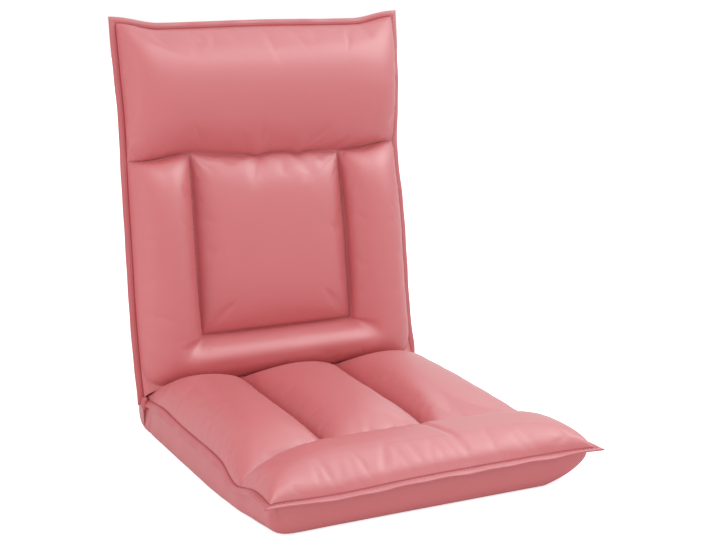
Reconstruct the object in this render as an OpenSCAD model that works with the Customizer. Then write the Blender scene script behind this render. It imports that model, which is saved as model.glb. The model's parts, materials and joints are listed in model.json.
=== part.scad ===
// Legless folding floor chair: a padded seat on the floor and a padded back on two ratchet hinges.
// Row frame: X across, -Y to the front, +Z up, origin on the floor under the seat's middle.
// Each cushion is drawn in its own frame: x across, y away from the fold axis, z out of its padded face.

/* [Overall] */
// Half width between the side seams
seam_half_w = 245; // [220:1:270]
// Seat length, fold axis to front seam corners
seat_len = 562; // [500:2:620]
// Back length, fold axis to top seam corners
back_len = 606; // [560:2:680]
// Height of the seat's seam plane above the floor
plane_z = 51; // [46:1:60]
// Thickness of the back behind its seam plane
rear_depth = 47; // [43:1:57]
// Recline of the back from upright, as it stands
recline = 6; // [0:1:12]
// Width of the flat sewn flange
flange_w = 11; // [6:1:16]
// Thickness of the flat sewn flange
flange_t = 3; // [2:0.5:4]
// From the fold axis to the cushions' faces at the fold
fold_reach = 20.3; // [20:0.1:24]
// How far the seat's side seams are drawn in between the corners
side_draw = 8; // [0:1:10]
// How far the seat's front seam is drawn in between its pointed corners
end_draw = 8; // [0:1:12]
// How far the back's top seam is drawn in between its pointed corners
ear_draw = 11; // [0:1:12]
// How far the seat's sides bulge past the corners under the seam
side_bulge = 5; // [0:1:8]
// How far the back's sides are drawn in beside the head pillow's seam
head_pinch = 8; // [0:1:10]

/* [Seat cushion] */
// Width of the middle channel between its two seams
channel_w = 166; // [120:2:200]
// Depth of the cross bolster at the middle of the front
bolster_len = 141; // [120:1:240]
// How far the cross seam sweeps forward at the sides
cross_sweep = 27; // [0:1:80]
// Height of the cross seam above the seam plane
cross_level = 7; // [5:1:20]
// Height of the channels' crowns
seat_crown = 50; // [36:1:56]
// Height of the cross bolster's crown
bolster_crown = 39; // [34:1:60]
// Rounding of the base's lower edge along the sides
side_round = 24; // [20:1:40]
// Rounding of the base across its front corners
corner_round = 174; // [60:1:200]
// Rounding of the base's lower front edge
front_round = 38; // [30:1:60]

/* [Back cushion] */
// Width of each side bolster
side_bolster_w = 112; // [80:2:130]
// Height of the lower bolster, from the fold axis to the panel's lower seam
lower_bolster_len = 94; // [80:1:130]
// Height of the head pillow, from its seam to the top corners
head_len = 221; // [160:1:260]
// Height of the head and panel seams above the seam plane
panel_level = 5; // [4:1:18]
// Height of the U-shaped bolster's crown
side_crown = 48; // [34:1:54]
// Height of the centre panel's crown
panel_crown = 35; // [26:1:44]
// Height of the head pillow's crown
head_crown = 57; // [40:1:64]
// Rounding of the rear side towards the seams
rear_round = 60; // [40:1:80]

/* [Covers] */
// Cover thickness, upper leather with its lining
cover_t = 2; // [1.5:0.1:2.5]
// Clearance between layers
layer_gap = 0.3; // [0.2:0.1:0.5]

/* [Frame] */
// Outer diameter of the bent frame tubes
tube_d = 16; // [14:1:18]
// Wall of the frame tubes
tube_wall = 1.5; // [1:0.1:1.6]
// From the side seam in to the rail's axis
rail_inset = 46.5; // [44:0.5:60]
// Depth of the tube axes behind the seam planes
rail_depth = 20; // [18:1:20]
// Centre-line radius of the frame bends
bend_r = 45; // [35:1:60]
// Diameter of the cross tubes
cross_d = 12; // [10:1:14]

/* [Hinges] */
// Thickness of each cheek plate
cheek_t = 3; // [2:0.5:3]
// Radius of the cheek plates round the fold axis
cheek_r = 13; // [12:0.5:14]
// Thickness of the toothed ratchet arm
ratchet_t = 6; // [4:0.5:6]
// Radius over the ratchet teeth
ratchet_r = 17; // [16:0.5:17.5]
// Tooth height
tooth_h = 1.4; // [1:0.1:1.6]
// Angle from tooth to tooth
tooth_step = 6; // [6:1:6]
// Pivot rivet diameter
pivot_d = 8; // [6:0.5:10]

/* [Hidden] */
$fn = 32;

leather_colour = [0.80, 0.48, 0.50];
foam_colour = [0.93, 0.90, 0.80];
fibre_colour = [0.95, 0.95, 0.94];
tube_colour = [0.16, 0.16, 0.17];
zinc_colour = [0.75, 0.76, 0.78];

fold_y = seat_len / 2;
rest_fold = 90 - recline;

// Sewn lines and starts of the padded faces, as distances from the fold axis
fold_slope = 0.977 * tan(90 - rest_fold / 2);
fold_level = fold_slope * fold_reach;
fold_run = 75;
pinch_rise = 35;
pinch_reach = 90;
cross_mid = seat_len - bolster_len;
head_seam = back_len - head_len;
channel_share = channel_w / 2 / seam_half_w;
panel_share = 1 - side_bolster_w / seam_half_w;

// The covers' rims at the side seams stand this far off the seam plane
rim = cover_t + 4 * layer_gap;
under_cover = cover_t + layer_gap;
wall_foot = 0.1;
core_end = 0.5;
heel_r = (plane_z + rear_depth) / 2;

// Frame and hinge places, in the cushions' own frames
tube_r = tube_d / 2;
rail_x = seam_half_w - rail_inset;
seat_tube_start = 44;
back_tube_start = 44;
loop_end_inset = 40;
cross_near = 110;
cross_far = 330;
play = 0.6;
cheek_gap = tube_d + play;
cheek_len = 92;
plate_half = tube_r + 1;
shoulder_y = 40;
toe_y = 26;
neck = [cheek_r + 6, -3];
arm_start = 34;
arm_end = 80;
arm_half = 5.2;
bore_clear = 0.1;
bend_step = 22.5;
bend_slack = 1.5;
// Hidden tubes, rivet shafts and hubs are drawn with this many sides
few_sides = 12;
rivet_d = 5;
rivet_places = [60, 82];
arm_rivet_places = [56, 70];
rivet_head_r = 4.4;
rivet_head_t = 1.4;
pivot_head_r = 7;
pivot_head_t = 2;
hub_r = 9;
root_overlap = 0.4;
hub_w = cheek_gap - play;
pocket_half = cheek_gap / 2 + cheek_t + pivot_head_t + 0.9;
pocket_depth = 32;
seat_pocket_len = 97;
back_pocket_len = 78;

// The pawl turns on its pin; its tip meets the ratchet under the fold axis
pawl_pin = [24, -rail_depth - 1];
pawl_pin_d = 4;
pawl_hub_r = 4.5;
pin_head_r = 3.4;
pawl_lift = 0.65;
pawl_tip_h = 2;
spring_t = 0.7;
spring_line = [[4, -rail_depth - 4.9], [22, -rail_depth - 6], [37, -rail_depth - 8]];
pawl_tip_angle = -80;
// Ratchet teeth lie where the pawl points between upright and flat
tooth_first = 180 - (pawl_tip_angle + rest_fold);
tooth_count = ceil(rest_fold / tooth_step) + 1;

// Steps close together at both ends, or at the far end only
function both_ends(a, b, n) = [for (k = [0:n]) a + (b - a) * (1 - cos(180 * k / n)) / 2];
function far_end(a, b, n) = [for (k = [0:n]) a + (b - a) * sin(90 * k / n)];
function tail(list) = [for (k = [1:len(list) - 1]) list[k]];

// Rounded fall to the side seams: 1 in the middle, 0 at share 1
function round_edge(f, power) = sqrt(max(0, 1 - pow(abs(f), power)));
// Cross-section of a stuffed tube between two seams, t from 0 to 1
function stuffed(t) = sqrt(max(0, 4 * t * (1 - t)));
function broad(t) = round_edge(2 * t - 1, 2.6);
function broad_flat(t) = round_edge(2 * pow(t, 0.87) - 1, 3.1);
// Rise from the fold seam that stays on its own side of the crease
function fold_rise(s, power = 2.5) = 1 - pow(1 - min(1, max(0, s)), power);
// Even curve from 0 to 1
function eased(x) = let (t = min(1, max(0, x))) t * t * (3 - 2 * t);

// Seam outline
function seat_half_w(y) = seam_half_w - side_draw * (1 - pow(2 * y / seat_len - 1, 4));
function back_half_w(y) = seam_half_w - head_pinch * exp(-pow((y - head_seam - pinch_rise) / pinch_reach, 2));
function seat_front(f) = seat_len - end_draw * (1 - pow(f, 8));
function back_top(f) = back_len - ear_draw * eased((1 - abs(f)) / 0.3);
function cross_seam(f) = cross_mid + cross_sweep * pow(abs(f), 3.6);

// Height of a sewn line at a level, falling to the rim at the sides
function valley(f, level) = rim + (level - rim) * round_edge(f, 6);
// The faces start beside the crease, and run in to the fold axis at the sides
function fold_start(f) = valley(f, fold_level) / fold_slope;
function channel_across(f) =
    abs(f) < channel_share
        ? round_edge(f / channel_share, 2)
        : stuffed((abs(f) - channel_share) / (1 - channel_share));

// Seat face: part 0 holds the channels, part 1 the front bolster; s runs through the part
function seat_y(f, part, s) =
    part == 0
        ? fold_start(f) + s * (cross_seam(f) - fold_start(f))
        : cross_seam(f) + s * (seat_front(f) - cross_seam(f));
function channel_level(s) = cross_level + (fold_level - cross_level) * pow(1 - s, 4);
function seat_z(f, part, s) =
    part == 0
        ? valley(f, channel_level(s)) + (seat_crown - channel_level(s)) * channel_across(f)
            * fold_rise(s * (cross_seam(f) - fold_start(f)) / fold_run) * round_edge(s, 8)
        : rim + (valley(f, cross_level) - rim) * round_edge(s, 3)
            + (bolster_crown - cross_level) * broad_flat(s) * round_edge(f, 5);

// Back face: part 0 is the lower bolster, part 1 the panel and side bolsters, part 2 the head pillow
function side_t(f) = (abs(f) - panel_share) / (1 - panel_share);
function lower_puff(s) = 1.49 * fold_rise(s, 2) * round_edge(s, 2);
function corner_puff(r, q) =
    let (t = min(1, pow(pow(r, 4) + pow(q, 4), 0.25)), share = r * r / (r * r + q * q + 0.0001))
    share * stuffed(t) + (1 - share) * lower_puff(1 - t);
function back_y(f, part, s) =
    part == 0 ? fold_start(f) + s * (lower_bolster_len - fold_start(f))
    : part == 1 ? lower_bolster_len + s * (head_seam - lower_bolster_len)
    : head_seam + s * (back_top(f) - head_seam);
function lower_level(s) = panel_level + (fold_level - panel_level) * pow(1 - s, 2);
function back_z(f, part, s) =
    part == 2
        ? rim + (valley(f, panel_level) - rim) * round_edge(s, 3)
            + (head_crown - panel_level) * broad(s) * round_edge(f, 8)
    : part == 0
        ? valley(f, lower_level(s)) + (side_crown - lower_level(s))
            * (abs(f) <= panel_share ? lower_puff(s) : corner_puff(side_t(f), 1 - s))
    : valley(f, panel_level) + (abs(f) <= panel_share
        ? (panel_crown - panel_level) * round_edge(f / panel_share, 4) * round_edge(2 * s - 1, 4)
        : (side_crown - panel_level) * stuffed(side_t(f)) * round_edge(s, 10));

// Grid lines of the faces: shares of the half width across, and [part, s] along
seat_side_n = 7;
seat_mid_n = 8;
channel_n = 9;
bolster_n = 8;
back_side_n = 6;
panel_n = 9;
lower_n = 5;
upper_n = 8;
seat_cols = concat(both_ends(-1, -channel_share, seat_side_n),
    tail(both_ends(-channel_share, channel_share, seat_mid_n)), tail(both_ends(channel_share, 1, seat_side_n)));
seat_rows = concat([for (s = both_ends(0, 1, channel_n)) [0, s]],
    [for (s = tail(both_ends(0, 1, bolster_n))) [1, s]]);
back_cols = concat(both_ends(-1, -panel_share, back_side_n),
    tail(both_ends(-panel_share, panel_share, panel_n)), tail(both_ends(panel_share, 1, back_side_n)));
back_rows = concat([for (s = both_ends(0, 1, lower_n)) [0, s]],
    [for (s = tail(both_ends(0, 1, upper_n))) [1, s]], [for (s = tail(both_ends(0, 1, upper_n))) [2, s]]);
// Grid lines of the lengthwise and panel seams, and of the far edges
seat_seam_l = seat_side_n;
seat_seam_r = seat_side_n + seat_mid_n;
seat_last = seat_seam_r + seat_side_n;
back_seam_l = back_side_n;
back_seam_r = back_side_n + panel_n;
back_last = back_seam_r + back_side_n;
panel_top = lower_n + upper_n;

function seat_point(f, row) =
    let (y = seat_y(f, row[0], row[1])) [f * seat_half_w(y), y, seat_z(f, row[0], row[1])];
function back_point(f, row) =
    let (y = back_y(f, row[0], row[1])) [f * back_half_w(y), y, back_z(f, row[0], row[1])];
seat_face = [for (row = seat_rows) [for (f = seat_cols) seat_point(f, row)]];
back_face = [for (row = back_rows) [for (f = back_cols) back_point(f, row)]];

// Under side of the seat: upright sides, rounded front, corners drawn together like a pillow's
under_cols = both_ends(-1, 1, 14);
function side_radius(s) = side_round + (corner_round - side_round) * pow(max(0, (s - 0.55) / 0.45), 2);
function into_round(reach, edge, r) = min(1, max(0, (reach - edge + r) / r));
function seat_share(f, s) =
    let (across = into_round(abs(f) * seam_half_w, seam_half_w, side_radius(s)),
        along = into_round(s * seat_len, seat_len, front_round))
    pow(max(0, 1 - pow(across, 6) - pow(along, 6)), 0.36);
function seat_under(f, y, drop) =
    let (s = y / seat_front(f), share = seat_share(f, s),
        out = (side_draw + side_bulge) * (1 - pow(2 * s - 1, 4)))
    [f * (seat_half_w(y) + out * share - drop), y, -(rim + (plane_z - rim) * share) + drop];
// Rear side of the back: upright sides at the heel, rounded towards the seams above it
function rear_radius(s) = side_round + (rear_round - side_round) * eased(s / 0.1);
function rear_share(f, s) =
    let (across = into_round(abs(f) * seam_half_w, seam_half_w, rear_radius(s)),
        along = into_round(s * back_len, back_len, rear_round))
    pow(max(0, 1 - pow(across, 6) - pow(along, 6)), 0.36);
function back_under(f, y, drop) =
    [f * back_half_w(y), y, -(rim + (rear_depth - rim) * rear_share(f, y / back_top(f))) + drop];
under_rows = far_end(0, 1, 9);
function seat_under_face(drop) = [
    for (s = under_rows)
        [for (f = under_cols) seat_under(f, core_end + s * (seat_front(f) - core_end), drop)]
];
function back_under_face(drop) = [
    for (s = under_rows)
        [for (f = under_cols) back_under(f, core_end + s * (back_top(f) - core_end), drop)]
];

// Faces of a grid of rows x cols points, starting at point number start; turned flips them
function grid_faces(rows, cols, start, turned) = [
    for (r = [0:rows - 2], c = [0:cols - 2], half = [0, 1])
        let (a = start + r * cols + c, b = a + 1, d = a + cols, e = d + 1,
            tri = half == 0 ? [a, d, b] : [b, d, e])
        turned ? [tri[2], tri[1], tri[0]] : tri
];
function rim_loop(rows, cols) = concat(
    [for (c = [0:cols - 1]) c],
    [for (r = [1:rows - 1]) r * cols + cols - 1],
    [for (c = [cols - 2:-1:0]) (rows - 1) * cols + c],
    [for (r = [rows - 2:-1:1]) r * cols]);
function sum(list, k = 0) = k < len(list) ? list[k] + sum(list, k + 1) : 0;
function flat_list(grid) = [for (row = grid) for (p = row) p];

// Thin shell between two grids of the same size, upper first
module shell(upper, lower) {
    rows = len(upper);
    cols = len(upper[0]);
    half = rows * cols;
    loop = rim_loop(rows, cols);
    n = len(loop);
    sides = [
        for (k = [0:n - 1], part = [0, 1])
            let (a = loop[k], b = loop[(k + 1) % n])
            part == 0 ? [a, b, a + half] : [b, b + half, a + half]
    ];
    polyhedron(concat(flat_list(upper), flat_list(lower)),
        concat(grid_faces(rows, cols, 0, false), grid_faces(rows, cols, half, true), sides));
}

// Solid from a grid to a flat face at height level; turned for a grid that faces down
module filled(grid, level, turned) {
    rows = len(grid);
    cols = len(grid[0]);
    half = rows * cols;
    loop = rim_loop(rows, cols);
    n = len(loop);
    points = flat_list(grid);
    foot = [for (k = loop) [points[k][0], points[k][1], level]];
    sides = [
        for (k = [0:n - 1], part = [0, 1])
            let (a = loop[k], b = loop[(k + 1) % n], p = half + k, q = half + (k + 1) % n,
                tri = part == 0 ? [a, b, p] : [b, q, p])
            turned ? [tri[2], tri[1], tri[0]] : tri
    ];
    middle = [for (axis = [0:2]) sum([for (p = foot) p[axis]]) / n];
    base = [
        for (k = [0:n - 1])
            let (p = half + k, q = half + (k + 1) % n)
            turned ? [q, p, half + n] : [p, q, half + n]
    ];
    polyhedron(concat(points, foot, [middle]), concat(grid_faces(rows, cols, 0, turned), sides, base));
}

// A padded face's cover: a wall up from the fold, then the sewn face
function lowered(row, back, down) = [for (p = row) [p[0], p[1] + back, p[2] - down]];
function wall_row(row, back) = [for (p = row) [p[0], p[1] + back, wall_foot]];
module face_cover(face) {
    last = len(face) - 1;
    upper = concat([wall_row(face[0], 0)], face);
    lower = concat([wall_row(face[0], cover_t)], [lowered(face[0], cover_t, cover_t)],
        [for (r = [1:last]) lowered(face[r], 0, cover_t)]);
    shell(upper, lower);
}

// A pad under part of a face, by its grid columns and rows
module face_pad(face, cols, rows) {
    grid = [
        for (r = [rows[0]:rows[1]])
            let (shift = r == 0 ? under_cover : 0)
            [for (c = [cols[0]:cols[1]]) face[r][c] + [0, shift, -under_cover]]
    ];
    filled(grid, 0, false);
}

// Places the seat's and the back's own frames
module in_seat() {
    translate([0, fold_y, plane_z]) mirror([0, 1, 0]) children();
}
module in_back() {
    translate([0, fold_y, plane_z]) rotate([rest_fold, 0, 0]) children();
}

// Parts of the sewn edge
module flange(left, top) {
    outline = concat(left, top, [for (k = [len(left) - 1:-1:0]) [-left[k][0], left[k][1]]]);
    translate([0, 0, -flange_t / 2]) linear_extrude(flange_t) polygon(outline);
}
// They follow the covers' own grid lines
function stations(length, out, start) =
    concat([start], [for (s = tail(under_rows)) core_end + s * (length - core_end)], [length + out]);
end_cols = [for (k = [1:len(under_cols) - 2]) under_cols[k]];
function seat_flange_side(out, start) =
    [for (y = stations(seat_len, out, start)) [-seat_half_w(min(y, seat_len)) - out, y]];
function seat_flange_front(out) = [for (f = end_cols) [f * seam_half_w, seat_front(f) + out]];
function back_flange_side(out, start) =
    [for (y = stations(back_len, out, start)) [-back_half_w(min(max(y, 0), back_len)) - out, y]];
function back_flange_top(out) = [for (f = end_cols) [f * seam_half_w, back_top(f) + out]];

// Tubes and plates
module rod_x(r, length) {
    rotate([0, 90, 0]) cylinder(r = r, h = length, center = true);
}
module rod_y(r, from, to) {
    translate([0, from, 0]) rotate([-90, 0, 0]) cylinder(r = r, h = to - from);
}
// Rings round the bent frame's centre line, each as [middle, heading]
function loop_rings(from, to) = concat(
    [[[rail_x, from], 0]],
    [for (a = [0:bend_step:90]) [[rail_x - bend_r, to - bend_r] + bend_r * [cos(a), sin(a)], a]],
    [for (a = [90:bend_step:180]) [[bend_r - rail_x, to - bend_r] + bend_r * [cos(a), sin(a)], a]],
    [[[-rail_x, from], 180]]);
function ring_points(ring, r) = [
    for (k = [0:few_sides - 1])
        let (t = 360 * k / few_sides, out = r * cos(t))
        [ring[0][0] + out * cos(ring[1]), ring[0][1] + out * sin(ring[1]), r * sin(t)]
];
module bent_tube(from, to) {
    rings = loop_rings(from, to);
    half = len(rings) * few_sides;
    last = half - few_sides;
    points = concat([for (ring = rings) each ring_points(ring, tube_r)],
        [for (ring = rings) each ring_points(ring, tube_r - tube_wall)]);
    walls = [
        for (r = [0:len(rings) - 2], k = [0:few_sides - 1], part = [0, 1], inner = [0, 1])
            let (a = inner * half + r * few_sides + k, b = inner * half + r * few_sides + (k + 1) % few_sides,
                tri = part == 0 ? [a, a + few_sides, b] : [b, a + few_sides, b + few_sides])
            inner == 0 ? tri : [tri[2], tri[1], tri[0]]
    ];
    ends = [
        for (k = [0:few_sides - 1], part = [0, 1], far = [0, 1])
            let (a = far * last + k, b = far * last + (k + 1) % few_sides,
                tri = part == 0 ? [a, b, a + half] : [b, b + half, a + half])
            far == 0 ? tri : [tri[2], tri[1], tri[0]]
    ];
    polyhedron(points, concat(walls, ends));
}
module frame_loop(from, to, holes) {
    translate([0, 0, -rail_depth]) difference() {
        bent_tube(from, to);
        for (side = [-1, 1], y = holes)
            translate([side * rail_x, y, 0]) rod_x(rivet_d / 2 + bore_clear, 2 * tube_d, $fn = few_sides);
    }
}
module cross_tubes() {
    for (y = [cross_near, cross_far])
        translate([0, y, -rail_depth]) difference() {
            rod_x(cross_d / 2, 2 * rail_x, $fn = few_sides);
            rod_x(cross_d / 2 - tube_wall, 3 * rail_x, $fn = few_sides);
            for (side = [-1, 1])
                translate([side * rail_x, 0, 0]) rod_y(tube_r + bore_clear, -tube_d, tube_d, $fn = few_sides);
        }
}
module plate_x(middle, thickness) {
    translate([middle - thickness / 2, 0, 0]) rotate([90, 0, 90]) linear_extrude(thickness) children();
}

// Grooves for the frame and pockets for the hinges, cut from a foam core
module loop_groove(to) {
    reach = tube_r + layer_gap;
    depth = rail_depth + reach;
    translate([0, 0, -depth]) linear_extrude(depth + 1) difference() {
        polygon(groove_outline(rail_x + reach, to + reach, bend_r + reach - bend_slack));
        polygon(groove_outline(rail_x - reach, to - reach, bend_r - reach));
    }
}
function groove_outline(half, end, r) =
    let (right = [for (a = [0:bend_step:90]) [half - r + r * cos(a), end - r + r * sin(a)]], n = len(right) - 1)
    concat([[half, -1]], right, [for (k = [n:-1:0]) [-right[k][0], right[k][1]]], [[-half, -1]]);
module cross_grooves() {
    half = cross_d / 2 + layer_gap;
    depth = rail_depth + half;
    for (y = [cross_near, cross_far])
        translate([-rail_x, y - half, -depth]) cube([2 * rail_x, 2 * half, depth + 1]);
}
module hinge_pockets(length) {
    for (side = [-1, 1])
        translate([side * rail_x - pocket_half, -1, -pocket_depth])
            cube([2 * pocket_half, length + 1, pocket_depth + 1]);
}
module foam_core(face, pocket_len, loop_to) {
    difference() {
        filled(face, -layer_gap, true);
        loop_groove(loop_to);
        cross_grooves();
        hinge_pockets(pocket_len);
    }
}

// Seat nodes
module seat_frame_tube() {
    color(tube_colour) in_seat() frame_loop(seat_tube_start, seat_len - loop_end_inset, rivet_places);
}
module seat_cross_tubes() {
    color(tube_colour) in_seat() cross_tubes();
}
module seat_foam_core() {
    color(foam_colour) in_seat()
        foam_core(seat_under_face(under_cover), seat_pocket_len, seat_len - loop_end_inset);
}
module seat_channel_pad_left() {
    color(fibre_colour) in_seat() face_pad(seat_face, [1, seat_seam_l - 1], [0, channel_n - 1]);
}
module seat_channel_pad_centre() {
    color(fibre_colour) in_seat() face_pad(seat_face, [seat_seam_l + 1, seat_seam_r - 1], [0, channel_n - 1]);
}
module seat_channel_pad_right() {
    color(fibre_colour) in_seat() face_pad(seat_face, [seat_seam_r + 1, seat_last - 1], [0, channel_n - 1]);
}
module seat_front_bolster_pad() {
    color(fibre_colour) in_seat()
        face_pad(seat_face, [1, seat_last - 1], [channel_n + 1, channel_n + bolster_n - 1]);
}
module seat_top_cover() {
    color(leather_colour) in_seat() face_cover(seat_face);
}
module seat_base_cover() {
    color(leather_colour) in_seat() shell(seat_under_face(cover_t), seat_under_face(0));
}
module seat_edge_flange() {
    start = 9;
    color(leather_colour) in_seat() difference() {
        flange(seat_flange_side(flange_w, start), seat_flange_front(flange_w));
        scale([1, 1, 2]) flange(seat_flange_side(layer_gap, start - 1), seat_flange_front(layer_gap));
    }
}
module fold_gusset() {
    gap_angle = 0.6;
    turns = [for (k = [0:7]) gap_angle + (rest_fold - 2 * gap_angle) * k / 7];
    function heel(f, a, inset) =
        let (r = rim + (heel_r - rim) * seat_share(f, 0) - inset)
        [f * seam_half_w, fold_y + r * sin(a), plane_z - r * cos(a)];
    outer = [for (a = turns) [for (f = under_cols) heel(f, a, 0)]];
    inner = [for (a = turns) [for (f = under_cols) heel(f, a, cover_t)]];
    color(leather_colour) shell(inner, outer);
}

// Back nodes
module back_frame_tube() {
    color(tube_colour) in_back() frame_loop(back_tube_start, back_len - loop_end_inset, arm_rivet_places);
}
module back_cross_tubes() {
    color(tube_colour) in_back() cross_tubes();
}
module back_foam_core() {
    color(foam_colour) in_back()
        foam_core(back_under_face(under_cover), back_pocket_len, back_len - loop_end_inset);
}
module head_pillow_pad() {
    color(fibre_colour) in_back()
        face_pad(back_face, [1, back_last - 1], [panel_top + 1, panel_top + upper_n - 1]);
}
module back_centre_pad() {
    color(fibre_colour) in_back()
        face_pad(back_face, [back_seam_l + 1, back_seam_r - 1], [lower_n + 1, panel_top - 1]);
}
module back_side_pad_left() {
    color(fibre_colour) in_back() face_pad(back_face, [1, back_seam_l - 1], [0, panel_top - 1]);
}
module back_side_pad_right() {
    color(fibre_colour) in_back() face_pad(back_face, [back_seam_r + 1, back_last - 1], [0, panel_top - 1]);
}
module back_lower_pad() {
    color(fibre_colour) in_back() face_pad(back_face, [back_seam_l + 1, back_seam_r - 1], [0, lower_n - 1]);
}
module back_front_cover() {
    color(leather_colour) in_back() face_cover(back_face);
}
module back_rear_cover() {
    color(leather_colour) in_back() shell(back_under_face(cover_t), back_under_face(0));
}
module back_edge_flange() {
    start = -8;
    color(leather_colour) in_back() difference() {
        flange(back_flange_side(flange_w, start), back_flange_top(flange_w));
        scale([1, 1, 2]) flange(back_flange_side(layer_gap, start - 1), back_flange_top(layer_gap));
    }
}

// Hinge pieces; side is -1 on the left and 1 on the right
function on_arc(r, a) = [r * cos(a), r * sin(a)];
function arc(r, from, to, steps) = [for (k = [0:steps]) on_arc(r, from + (to - from) * k / steps)];
module cheek_outline() {
    difference() {
        polygon(concat(arc(cheek_r, 45, 245, 8),
            [[toe_y, -rail_depth - plate_half], [cheek_len, -rail_depth - plate_half],
                [cheek_len, -rail_depth + plate_half], [shoulder_y, -rail_depth + plate_half], neck]));
        circle(pivot_d / 2 + bore_clear);
        translate(pawl_pin) circle(pawl_pin_d / 2 + bore_clear, $fn = few_sides);
        for (y = rivet_places) translate([y, -rail_depth]) circle(rivet_d / 2 + bore_clear, $fn = few_sides);
    }
}
module cheek(side, way) {
    color(zinc_colour) in_seat()
        plate_x(side * (rail_x + way * (cheek_gap + cheek_t) / 2), cheek_t) cheek_outline();
}
module ratchet_outline() {
    root = ratchet_r - tooth_h;
    last = tooth_first + tooth_step * (tooth_count - 0.5);
    teeth = [
        for (k = [0:tooth_count - 1], part = [0, 1])
            let (a = tooth_first + tooth_step * k)
            part == 0 ? on_arc(ratchet_r, a - tooth_step / 2) : on_arc(root - root_overlap, a)
    ];
    polygon(concat(arc(root, -15, tooth_first - tooth_step, 10), teeth,
        [on_arc(ratchet_r, last), on_arc(root, last + tooth_step), on_arc(root, -75)],
        [[arm_start, -rail_depth - arm_half], [arm_end, -rail_depth - arm_half],
            [arm_end, -rail_depth + arm_half], [arm_start, -rail_depth + arm_half]]));
}
module ratchet_arm(side) {
    color(zinc_colour) in_back() difference() {
        union() {
            plate_x(side * rail_x, ratchet_t) ratchet_outline();
            translate([side * rail_x, 0, 0]) rod_x(hub_r, hub_w, $fn = few_sides);
        }
        translate([side * rail_x, 0, 0]) rod_x(pivot_d / 2 + bore_clear, 2 * tube_d);
        for (y = arm_rivet_places)
            translate([side * rail_x, y, -rail_depth])
                rod_x(rivet_d / 2 + bore_clear, 2 * tube_d, $fn = few_sides);
    }
}
module headed_pin(r, grip, head_r, head_t) {
    rod_x(r, grip + play);
    for (way = [-1, 1])
        translate([way * (grip + play / 2 + head_t) / 2, 0, 0]) rod_x(head_r, head_t, $fn = few_sides);
}
module pivot_rivet(side) {
    color(zinc_colour) in_seat() translate([side * rail_x, 0, 0])
        headed_pin(pivot_d / 2, cheek_gap + 2 * cheek_t, pivot_head_r, pivot_head_t);
}
module pawl(side) {
    reach = ratchet_r + pawl_lift;
    flank = 3;
    color(zinc_colour) in_seat() difference() {
        union() {
            plate_x(side * rail_x, ratchet_t) polygon([
                on_arc(reach, pawl_tip_angle), on_arc(reach + pawl_tip_h, pawl_tip_angle - flank),
                on_arc(reach + 3 * pawl_tip_h, pawl_tip_angle - flank), pawl_pin + [0, -pawl_hub_r],
                pawl_pin + [0, pawl_hub_r], on_arc(reach + pawl_tip_h, pawl_tip_angle + flank)
            ]);
            translate([side * rail_x, pawl_pin[0], pawl_pin[1]]) rod_x(pawl_hub_r, hub_w, $fn = few_sides);
        }
        translate([side * rail_x, pawl_pin[0], pawl_pin[1]]) rod_x(pawl_pin_d / 2 + bore_clear, 2 * tube_d);
    }
}
module pawl_pin_piece(side) {
    color(zinc_colour) in_seat() translate([side * rail_x, pawl_pin[0], pawl_pin[1]])
        headed_pin(pawl_pin_d / 2, cheek_gap + 2 * cheek_t, pin_head_r, rivet_head_t);
}
module pawl_spring(side) {
    last = len(spring_line) - 1;
    color(zinc_colour) in_seat() plate_x(side * rail_x, cheek_gap - 2 * bore_clear)
        polygon(concat(spring_line, [for (k = [last:-1:0]) spring_line[k] - [0, spring_t]]));
}
module seat_tube_rivets() {
    color(zinc_colour) in_seat()
        for (side = [-1, 1], y = rivet_places)
            translate([side * rail_x, y, -rail_depth])
                headed_pin(rivet_d / 2, cheek_gap + 2 * cheek_t, rivet_head_r, rivet_head_t, $fn = few_sides);
}
module back_tube_rivets() {
    color(zinc_colour) in_back()
        for (side = [-1, 1], y = arm_rivet_places)
            translate([side * rail_x, y, -rail_depth])
                headed_pin(rivet_d / 2, tube_d, rivet_head_r, rivet_head_t, $fn = few_sides);
}

seat_frame_tube();
seat_cross_tubes();
seat_foam_core();
seat_channel_pad_left();
seat_channel_pad_centre();
seat_channel_pad_right();
seat_front_bolster_pad();
seat_top_cover();
seat_base_cover();
seat_edge_flange();
fold_gusset();
back_frame_tube();
back_cross_tubes();
back_foam_core();
head_pillow_pad();
back_centre_pad();
back_side_pad_left();
back_side_pad_right();
back_lower_pad();
back_front_cover();
back_rear_cover();
back_edge_flange();
cheek(-1, 1);  // hinge_cheek_outer_left
cheek(-1, -1);  // hinge_cheek_inner_left
cheek(1, 1);  // hinge_cheek_outer_right
cheek(1, -1);  // hinge_cheek_inner_right
ratchet_arm(-1);  // ratchet_arm_left
ratchet_arm(1);  // ratchet_arm_right
pivot_rivet(-1);  // pivot_rivet_left
pivot_rivet(1);  // pivot_rivet_right
pawl(-1);  // pawl_left
pawl(1);  // pawl_right
pawl_pin_piece(-1);  // pawl_pin_left
pawl_pin_piece(1);  // pawl_pin_right
pawl_spring(-1);  // pawl_spring_left
pawl_spring(1);  // pawl_spring_right
seat_tube_rivets();
back_tube_rivets();
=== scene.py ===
"""Looks of a legless folding floor chair: smooth leather covers, sewn edges and a ratchet frame inside.

All lengths are metres in the row frame. Each cushion has its own frame: x across, y away from the
fold axis, z out of the padded face.
"""

import json
import math

import bpy
import numpy as np
from mathutils import Matrix, Vector


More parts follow.
